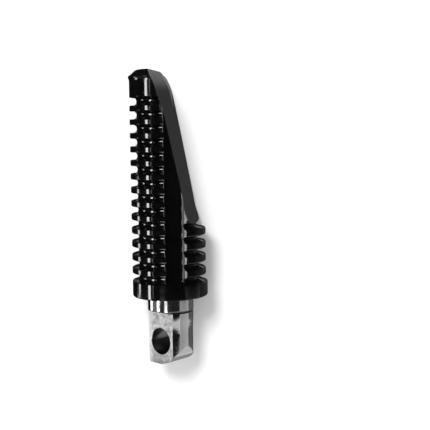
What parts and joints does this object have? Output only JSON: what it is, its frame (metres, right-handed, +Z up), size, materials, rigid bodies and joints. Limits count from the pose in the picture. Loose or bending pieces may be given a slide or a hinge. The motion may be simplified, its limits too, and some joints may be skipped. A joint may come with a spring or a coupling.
{
  "type": "foot peg",
  "caption": "Round ribbed foot peg with a long bevelled underside and milled flutes, on a steel spindle with a flat, cross-bored mounting tongue.",
  "frame": {"origin": "centre of the pivot bore, on the peg's axis", "axes": "+X along the peg's axis from the pivot bore to the tip; +Y towards the ribbed tread side, away from the long bevel; +Z up with the peg lying on its side"},
  "size_m": [0.1245, 0.0325, 0.0322],
  "materials": {
    "anodised_body": "gloss",
    "polished_steel": "polished",
    "bronze": "satin",
    "seal_rubber": "matte",
    "black_steel": "satin",
    "pad_brass": "satin"
  },
  "bodies": {
    "spindle": {"mount_spindle": "polished_steel", "o_ring": "seal_rubber"},
    "peg": {"peg_body": "anodised_body", "thrust_washer": "bronze", "set_screws": "black_steel", "screw_pads": "pad_brass"}
  },
  "joints": [
    {"name": "peg_clocking", "type": "hinge", "parent": "spindle", "child": "peg", "pos_m": [0.0193, 0, 0], "axis": [1, 0, 0], "continuous": true}
  ]
}
